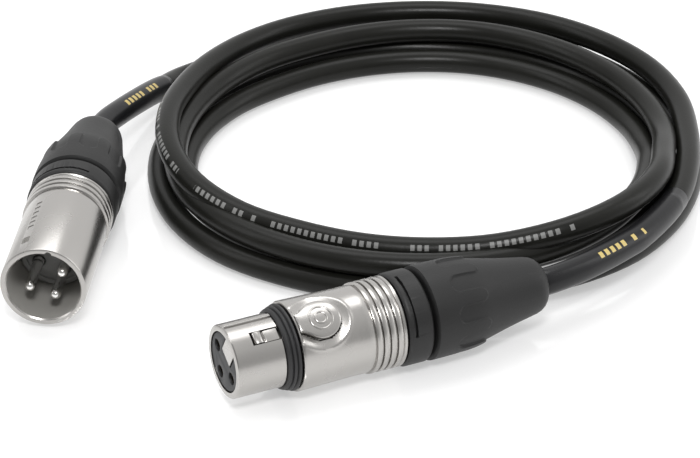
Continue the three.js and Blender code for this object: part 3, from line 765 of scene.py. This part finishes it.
pad_verts = []
for inset, rise in pad_levels:
    for i in range(PAD_POINTS):
        turn = 2 * math.pi * i / PAD_POINTS
        reach = pad_reach(turn, inset)
        angle = reach * math.sin(turn) / PAD_CURVE
        radius = PAD_CURVE + rise
        back = PAD_MIDDLE + reach * math.cos(turn)
        pad_verts.append(Vector((radius * math.sin(angle), radius * math.cos(angle), back)) * MM)
pad_faces = [tuple(range(PAD_POINTS))]
for level in range(len(pad_levels) - 1):
    start = level * PAD_POINTS
    for i in range(PAD_POINTS):
        n = (i + 1) % PAD_POINTS
        pad_faces.append((start + i, start + n, start + PAD_POINTS + n, start + PAD_POINTS + i))
crown_start = (len(pad_levels) - 1) * PAD_POINTS
pad_faces.append(tuple(crown_start + i for i in reversed(range(PAD_POINTS))))
pad = mesh_piece("pad", pad_verts, pad_faces)
parts = [lever, pad]
for ring_radius in RING_RADII:
    bpy.ops.object.select_all(action="DESELECT")
    bpy.ops.mesh.primitive_torus_add(
        major_radius=ring_radius * MM, minor_radius=RING_THICKNESS * MM, major_segments=64,
        minor_segments=12,
    )
    ring = bpy.context.object
    for vertex in ring.data.vertices:
        x, y, rise = vertex.co / MM
        radius = PAD_CURVE + PAD_CROWN + rise * 0.7
        angle = x / PAD_CURVE
        around = (radius * math.sin(angle), radius * math.cos(angle), PAD_MIDDLE + y)
        vertex.co = Vector(around) * MM
    parts.append(ring)
only(lever)
for part in parts:
    part.select_set(True)
bpy.ops.object.join()
faced_outwards(lever)
placed(lever, socket_place, "latch", "latch_metal", nickel, "latch_lever")

# ---- the gasket --------------------------------------------------------------------------------
# A ring of black rubber with three ridges, each wider than the one before it. It is moulded in
# one piece, stretched over the nose and seated against the body's front.

rubber = finish_of(
    "black_rubber", (0.018, 0.018, 0.019), size=2200.0, tooth=0.35, gloss=0.5, gloss_spread=0.12,
    tone_spread=0.4,
)
gasket = turned("nose_gasket_ring", [
    (11.15, 7.85), (11.15, 8.3), (11.35, 8.6), (11.7, 8.78), (12.0, 8.72), (12.12, 8.45),
    (12.25, 8.45), (12.35, 8.9), (12.6, 9.12), (12.9, 9.08), (13.02, 8.75), (13.15, 8.75),
    (13.25, 9.2), (13.45, 9.42), (13.75, 9.45), (13.9, 9.3), (13.9, 7.85),
], 128)
softened(gasket, 0.05, 40, 2)
placed(gasket, socket_place, "cable", "gasket_rubber", rubber, "nose_gasket")

# ---- the inserts and pins ----------------------------------------------------------------------
# Glass-filled plastic mouldings that carry the contacts and pins. The socket's has a notch along
# its top, which the shell's lip fills at the front. The pin connector's is a disc at the bottom
# of the bore.

CONTACT_CIRCLE = 4.15
contact_places = []
for degrees in (-90, 90, 180):
    angle = math.radians(degrees)
    contact_places.append((CONTACT_CIRCLE * math.sin(angle), CONTACT_CIRCLE * math.cos(angle)))
moulding = finish_of(
    "black_moulding", (0.022, 0.023, 0.025), size=1800.0, tooth=0.3, gloss=0.5, gloss_spread=0.15,
    tone_spread=0.4,
)


def drilled(piece, radius, low, high):
    """Three holes through a piece, one for each contact."""
    for x, y in contact_places:
        drill = turned("drill", [(low, radius), (high, radius)], 40, closed=False)
        drill.data.transform(Matrix.Translation((x * MM, y * MM, 0)))
        combined(piece, drill, "DIFFERENCE")
    return piece


socket_insert = turned("socket_insert_moulding", [(0.2, 6.35), (22.2, 6.35)], 96, closed=False)
combined(socket_insert, block("notch", (-2.55, 1.7, -1), (2.55, 8, 24)), "DIFFERENCE")
drilled(socket_insert, 1.4, -1, 3)
drilled(socket_insert, 1.75, 0.9, 24)
softened(socket_insert, 0.1, 40, 2)
placed(socket_insert, socket_place, "cable", "insulator", moulding, "socket_insert")

plug_insert = turned("plug_insert_moulding", [(14.5, 7.85), (20.5, 7.85)], 96, closed=False)
ring_tool = turned("ring_groove", [(14.2, 6.2), (14.2, 6.7), (14.9, 6.7), (14.9, 6.2)], 96)
combined(plug_insert, ring_tool, "DIFFERENCE")
drilled(plug_insert, 1.5, 13, 22)
softened(plug_insert, 0.1, 40, 2)
grey_moulding = finish_of(
    "grey_moulding", (0.26, 0.26, 0.255), size=1800.0, tooth=0.3, gloss=0.45, gloss_spread=0.15,
    tone_spread=0.3,
)
placed(plug_insert, plug_place, "cable", "insulator", grey_moulding, "plug_insert")

# Turned brass pins with silver plate, their tips rounded and a solder cup in each rear end.
PIN_RADIUS = 1.2
PIN_FRONT = 2.5
TIP_STEPS = 10
silver = finish_of(
    "silver_plate", (0.82, 0.81, 0.79), metallic=1.0, size=2500.0, tooth=0.05, gloss=0.16,
    gloss_spread=0.08, tone_spread=0.05,
)
pin_outline = []
for step in range(1, TIP_STEPS + 1):
    angle = step / TIP_STEPS * math.pi / 2
    tip_back = PIN_FRONT + PIN_RADIUS * (1 - math.cos(angle))
    pin_outline.append((tip_back, PIN_RADIUS * math.sin(angle)))
pin_outline += [
    (13.2, PIN_RADIUS), (13.4, 1.12), (13.6, PIN_RADIUS), (22.5, PIN_RADIUS), (22.5, 0.85),
    (20.7, 0.85), (20.7, 0.2),
]
for i, (x, y) in enumerate(contact_places):
    pin = turned(f"plug_pin_{i + 1}_turned", pin_outline, 48, closed=False)
    pin.data.transform(Matrix.Translation((x * MM, y * MM, 0)))
    placed(pin, plug_place, "cable", "pin", silver, f"plug_pin_{i + 1}", smooth=50)

# ---- the pin connector's shell -----------------------------------------------------------------
# The same casting and plate: a plain round barrel, with a half-round keyway in its bore, a small
# hole that the other connector's latch drops into, and the ribbed rear.

PLUG_LENGTH = 33.9
PLUG_BORE = 8.15
PLUG_BODY = 9.5
PLUG_BORE_DEPTH = 20.8
MARKS = 6
MARK_FRONT = 10.6
MARK_PITCH = 2.1
MARK_DEPTH = 0.12
plug_shell = turned("plug_shell_casting", [
    (0, PLUG_BORE + 0.28), (0, PLUG_BODY - 0.3), (0.1, PLUG_BODY - 0.1), (0.3, PLUG_BODY),
    (26.6, PLUG_BODY), (27.1, PLUG_BODY), *ribs(27.3, PLUG_LENGTH - 0.6, 9.55, 9.93, 3),
    (PLUG_LENGTH - 0.5, 9.8), (PLUG_LENGTH - 0.25, 9.85), (PLUG_LENGTH, 9.6),
    (PLUG_LENGTH, REAR_BORE_RADIUS), (PLUG_LENGTH - REAR_BORE_LENGTH, REAR_BORE_RADIUS),
    (PLUG_LENGTH - REAR_BORE_LENGTH, 7.4), (PLUG_BORE_DEPTH, 7.4), (PLUG_BORE_DEPTH, PLUG_BORE),
    (0.3, PLUG_BORE),
], 192)
keyway = turned("keyway", [(-1, 0.8), (14.5, 0.8)], 40, closed=False)
keyway.data.transform(Matrix.Translation((0, PLUG_BORE * MM, 0)))
combined(plug_shell, swung(keyway, -KEY_ANGLE), "DIFFERENCE")
hole = block("latch_hole", (-0.95, PLUG_BORE - 1, 4.3), (0.95, PLUG_BODY + 1, 6.9))
combined(plug_shell, softened(hole, 0.3, 30, 3), "DIFFERENCE")
for i in range(MARKS):
    mark_front = MARK_FRONT + MARK_PITCH * i
    mark_low = (-0.7, PLUG_BODY - MARK_DEPTH, mark_front)
    mark = block("mark", mark_low, (0.7, PLUG_BODY + 1, mark_front + 1.3))
    combined(plug_shell, mark, "DIFFERENCE")
placed(plug_shell, plug_place, "cable", "shell", nickel, "plug_shell")

# Inside the bore the casting gets a darker, duller nickel: painted shade for the shadowed bore.
shaded_bore_nickel = finish_of(
    "shaded_bore_nickel", (0.36, 0.35, 0.33), metallic=0.2, size=1200.0, tooth=0.3, gloss=0.6,
    gloss_spread=0.1, tone_spread=0.15,
)
plug_shell.data.materials.append(shaded_bore_nickel)
# The faces of the bore, its keyway and the latch hole's walls take the painted shade.
to_plug = plug_place.inverted()
for face in plug_shell.data.polygons:
    x, y, back = to_plug @ face.center / MM
    if 0.35 < back < PLUG_BORE_DEPTH + 0.2 and math.hypot(x, y) < PLUG_BORE + 0.9:
        face.material_index = 1

# ---- the collars, gland nuts and boots ---------------------------------------------------------
# Behind each shell sits a loose plastic collar with a narrow window in it, and the gland nut is
# screwed into the shell through it. The boot is soft plastic moulded over the nut, with a raised
# grip whose nine fingers point back.

COLLAR_RADIUS = 10.25
COLLAR_LENGTH = 5.7
NUT_REACH = 6.5
NUT_LENGTH = 19.8
NUT_RADIUS = 7.7
NUT_BORE = 6.2
THREAD_PITCH = 1.0
THREAD_TURNS = 6
THREAD_ROOT = NUT_RADIUS - 0.35
BOOT_GAP = 0.9
BOOT_LENGTH = 29.9
GRIP_FINGERS = 9
GRIP_FRONT = 5.3
GRIP_REAR = 13.0
GRIP_RISE = 0.48
GRIP_EDGE = 0.11
GRIP_RADIUS = 9.6
FINGER_HALF = 1.45
SLIT_AFTER = 1.2
SLIT_WIDTH = 0.65
SLIT_ENDS = ((-53, False), (35, True))
satin_black = finish_of(
    "satin_black_plastic", (0.011, 0.011, 0.011), specular=0.4, size=2000.0, tooth=0.3,
    gloss=0.48, gloss_spread=0.1, tone_spread=0.25,
)
boot_finish = finish_of(
    "boot_soft_plastic", (0.012, 0.012, 0.012), specular=0.38, size=2600.0, tooth=0.45,
    gloss=0.52, gloss_spread=0.1, tone_spread=0.25,
)


def grip_height(around, behind):
    """The share of the grip's full height at an angle and a place behind the boot's front."""
    pitch = 2 * math.pi / GRIP_FINGERS
    across = abs((around + math.pi * 2) % pitch - pitch / 2) * GRIP_RADIUS
    slot_half = pitch / 2 * GRIP_RADIUS - FINGER_HALF
    root = GRIP_FRONT + slot_half
    if behind > root:
        past_tip = max(0, behind - (GRIP_REAR - FINGER_HALF))
        distance = math.hypot(across, past_tip) - FINGER_HALF
    elif behind > GRIP_FRONT:
        from_slot = pitch / 2 * GRIP_RADIUS - across
        distance = slot_half - math.hypot(from_slot, root - behind)
    else:
        distance = -1
    share = max(0, min(1, 0.5 - distance / (2 * GRIP_EDGE)))
    return share * share * (3 - 2 * share)


for side, place, shell_length in (
    ("socket", socket_place, SOCKET_LENGTH),
    ("plug", plug_place, PLUG_LENGTH),
):
    front = shell_length + 0.3
    rear = front + COLLAR_LENGTH
    collar = turned(f"{side}_collar_ring", [
        (front, REAR_BORE_RADIUS), (front, COLLAR_RADIUS - 0.5),
        (front + 0.25, COLLAR_RADIUS - 0.2), (front + 0.7, COLLAR_RADIUS),
        (rear - 0.5, COLLAR_RADIUS), (rear, COLLAR_RADIUS - 0.35), (rear, REAR_BORE_RADIUS),
    ], 160)
    slit_front = front + SLIT_AFTER
    slit_rear = slit_front + SLIT_WIDTH
    slit = turned("slit", [
        (slit_front, 9.3), (slit_front, 11.5), (slit_rear, 11.5), (slit_rear, 9.3),
    ], 160)
    bpy.ops.object.mode_set(mode="EDIT")
    for degrees, keep_low in SLIT_ENDS:
        angle = math.radians(degrees)
        bpy.ops.mesh.select_all(action="SELECT")
        bpy.ops.mesh.bisect(
            plane_co=(0, 0, 0), plane_no=(math.cos(angle), -math.sin(angle), 0), use_fill=True,
            clear_inner=not keep_low, clear_outer=keep_low,
        )
    faced_outwards(slit)
    combined(collar, slit, "DIFFERENCE")
    softened(collar, 0.08, 40, 2)
    placed(collar, place, "cable", "collar_plastic", satin_black, f"{side}_collar")

    nut_front = shell_length - NUT_REACH
    nut_rear = nut_front + NUT_LENGTH
    thread = []
    for turn in range(THREAD_TURNS):
        crest = nut_front + 0.5 + turn * THREAD_PITCH
        thread += [(crest - 0.4, THREAD_ROOT), (crest, NUT_RADIUS), (crest + 0.2, NUT_RADIUS)]
    nut = turned(f"{side}_gland_nut_moulding", [
        (nut_front, NUT_BORE), (nut_front, THREAD_ROOT), *thread, (nut_front + 6.4, THREAD_ROOT),
        (nut_front + 6.8, NUT_RADIUS), (nut_rear, NUT_RADIUS), (nut_rear, 4.2),
        (nut_front + 15, 4.2), (nut_front + 7, NUT_BORE),
    ], 128)
    placed(nut, place, f"{side}_nut", "inner_plastic", satin_black, f"{side}_gland_nut")

    start = rear + BOOT_GAP
    end = start + BOOT_LENGTH
    grip_rings = []
    for i in range(53):
        behind = 3.6 + i * 0.2
        if behind < 8:
            radius = 10.0 - 0.02 * behind
        else:
            radius = 9.84 - 0.02 * (behind - 8) - 0.02 * (behind - 8) ** 2
        grip_rings.append((start + behind, radius))
    seat = nut_rear + 0.3
    boot = turned(f"{side}_boot_moulding", [
        (start, 8.0), (start, 9.45), (start + 0.12, 9.75), (start + 0.45, 9.92),
        (start + 0.9, 9.95), *grip_rings, (start + 15.4, 8.68), (start + 17.5, 8.2),
        (start + 19.5, 7.77), (start + 21.5, 7.36), (start + 23.5, 7.0), (start + 25.5, 6.65),
        (start + 26.9, 6.38), (start + 27.9, 6.08),
        (start + 28.7, 5.6), (start + 29.3, 5.0), (start + 29.7, 4.4), (end, 3.8), (end, 3.5),
        (end - 0.3, 3.45), (seat + 5, 3.45), (seat, 5.4), (seat, 8.0),
    ], 324)
    for vertex in boot.data.vertices:
        x, y, back = vertex.co / MM
        radius = math.hypot(x, y)
        behind = back - start
        if radius < 8.3 or behind > 15:
            continue
        rise = GRIP_RISE * min(1, behind / 0.4) * grip_height(math.atan2(x, y), behind)
        raised = radius + rise
        vertex.co.x *= raised / radius
        vertex.co.y *= raised / radius
    placed(boot, place, f"{side}_boot", "boot_rubber", boot_finish, f"{side}_boot", smooth=45)

# ---- the pieces inside -------------------------------------------------------------------------
# Moulded chucks that grip the jacket, brass contacts with gold plate, the cable's stripped ends
# with their cores soldered into the cups, and the latch's steel pin and wire spring. They are
# hidden by the shells and keep their shapes.

gold = finish_of(
    "gold_plate", (0.75, 0.52, 0.22), metallic=1.0, size=2500.0, tooth=0.05, gloss=0.22,
    gloss_spread=0.08, tone_spread=0.1,
)
steel = finish_of(
    "spring_steel", (0.42, 0.43, 0.44), metallic=1.0, size=2500.0, tooth=0.1, gloss=0.28,
    gloss_spread=0.1, tone_spread=0.15,
)
core_colours = ((0.03, 0.08, 0.28), (0.7, 0.68, 0.62), (0.4, 0.14, 0.03))
core_finishes = [
    finish_of(
        f"core_insulation_{i + 1}", colour, size=2000.0, tooth=0.2, gloss=0.4, tone_spread=0.2,
    )
    for i, colour in enumerate(core_colours)
]
kept = {"latch_pin": steel, "latch_spring": steel}
for side in ("socket", "plug"):
    kept[f"{side}_chuck"] = moulding
    kept[f"{side}_cable_end"] = jacket
    for i in range(3):
        kept[f"{side}_core_{i + 1}"] = core_finishes[i]
for i in range(3):
    kept[f"socket_contact_{i + 1}"] = gold
for node, material in kept.items():
    piece = bpy.data.objects[node]
    piece.data.materials.clear()
    piece.data.materials.append(material)
